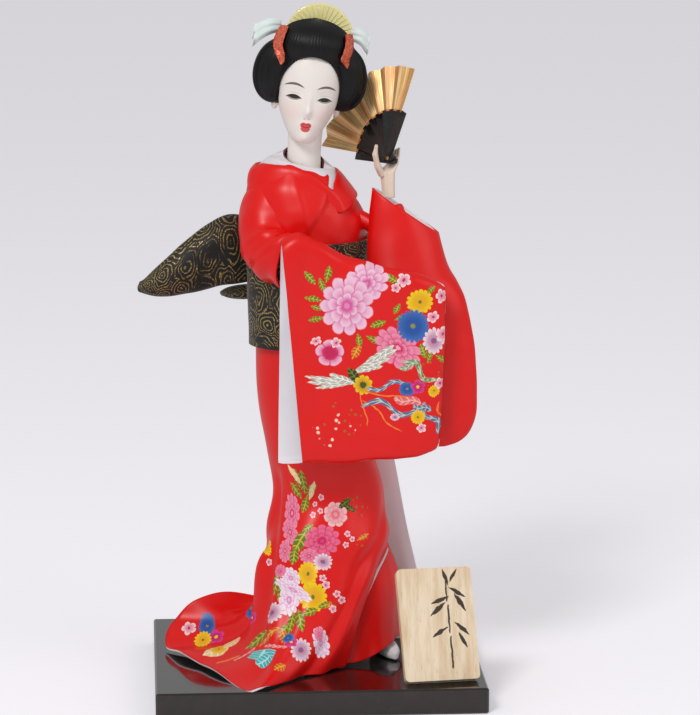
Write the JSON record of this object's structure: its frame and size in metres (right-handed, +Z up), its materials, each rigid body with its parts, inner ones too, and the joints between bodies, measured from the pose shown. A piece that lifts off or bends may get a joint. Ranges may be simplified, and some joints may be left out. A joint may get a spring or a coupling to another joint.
{
  "type": "kimono doll",
  "caption": "Standing doll in a red kimono with a brocade sash, raising a folding fan, on a lacquered base with a plaque.",
  "frame": {"origin": "centre of the base's underside", "axes": "+X to the viewer's right, +Y to the back, away from the viewer the doll faces, +Z up"},
  "size_m": [0.1559, 0.125, 0.3138],
  "materials": {
    "black_lacquer": "glossy black lacquer",
    "pale_wood": "bare, planed",
    "padding": "cotton over stuffing",
    "steel_wire": "drawn wire",
    "white_cloth": "plain weave",
    "red_satin": "printed satin",
    "brocade": "black and gold brocade",
    "moulded_skin": "painted, soft sheen",
    "black_hair": "combed black fibre",
    "yellow_comb": "clear yellow",
    "pale_ribbon": "thin ribbon",
    "red_glitter": "ribbon with glitter",
    "brass": "bright",
    "gold_foil": "gold foil on paper",
    "black_plastic": "glossy"
  },
  "bodies": {
    "root": {"base_board": "black_lacquer", "wooden_plaque": "pale_wood", "body_form": "padding", "left_leg_wire": "steel_wire", "right_leg_wire": "steel_wire", "left_foot": "white_cloth", "right_foot": "white_cloth", "kimono_skirt": "red_satin", "under_skirt": "red_satin", "white_under_robe": "white_cloth", "kimono_bodice": "red_satin", "white_collar": "white_cloth", "red_collar": "red_satin", "sash": "brocade", "bow_knot": "brocade", "bow_left_loop": "brocade", "bow_right_loop": "brocade", "bow_lower_roll": "brocade", "right_upper_sleeve": "red_satin", "right_sleeve": "red_satin", "left_sleeve": "red_satin", "right_arm": "padding", "left_arm": "padding", "right_hand": "moulded_skin", "left_hand": "moulded_skin", "head": "moulded_skin", "wig": "black_hair", "comb": "yellow_comb", "left_ribbon_loop": "pale_ribbon", "right_ribbon_loop": "pale_ribbon", "left_glitter_ribbon": "red_glitter", "right_glitter_ribbon": "red_glitter", "fan_rivet": "brass", "fan_leaf": "gold_foil", "fan_stick_1": "black_plastic", "fan_stick_2": "black_plastic", "fan_stick_3": "black_plastic", "fan_stick_4": "black_plastic", "fan_stick_5": "black_plastic", "fan_stick_6": "black_plastic", "fan_stick_7": "black_plastic", "fan_stick_8": "black_plastic", "fan_stick_9": "black_plastic"}
  },
  "joints": []
}
